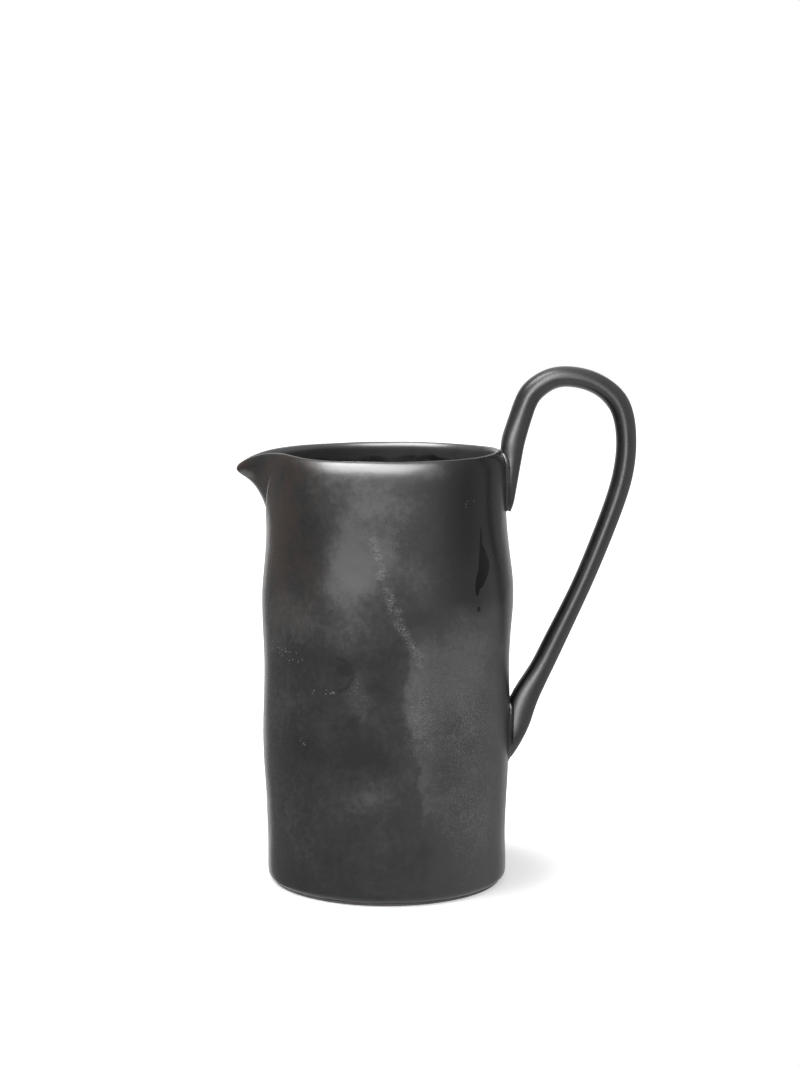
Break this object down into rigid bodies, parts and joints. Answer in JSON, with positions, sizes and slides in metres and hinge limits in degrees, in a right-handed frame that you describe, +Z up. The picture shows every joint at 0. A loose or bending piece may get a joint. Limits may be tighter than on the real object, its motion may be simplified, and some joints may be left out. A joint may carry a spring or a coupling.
{
  "type": "oinochoe jug",
  "caption": "Hand-built stoneware pouring jug with softly dented cylindrical wall, pinched drooping beak and tall rolled loop handle, satin black glaze, bare foot",
  "frame": {"origin": "centre of the flat standing face, under the middle of the jug's body", "axes": "+Z up, +X towards the handle, -X towards the beak, +Y to the back when the handle is on the right"},
  "size_m": [0.1771, 0.1109, 0.2296],
  "materials": {
    "satin_black_glaze": "satin black reactive glaze over stoneware, cloudy brown and gunmetal, glossier inside",
    "glazed_slip": "clay slip in the joints under the same satin black glaze, pooled a little glossier",
    "bare_stoneware": "unglazed grey-brown stoneware, matt and slightly sandy"
  },
  "bodies": {
    "root": {"body_wall": "satin_black_glaze", "spout": "satin_black_glaze", "spout_luting_slip": "glazed_slip", "floor_slab": "satin_black_glaze", "floor_corner_coil": "satin_black_glaze", "foot_ring": "bare_stoneware", "handle": "satin_black_glaze", "upper_luting_slip": "glazed_slip", "lower_luting_slip": "glazed_slip"}
  },
  "joints": []
}
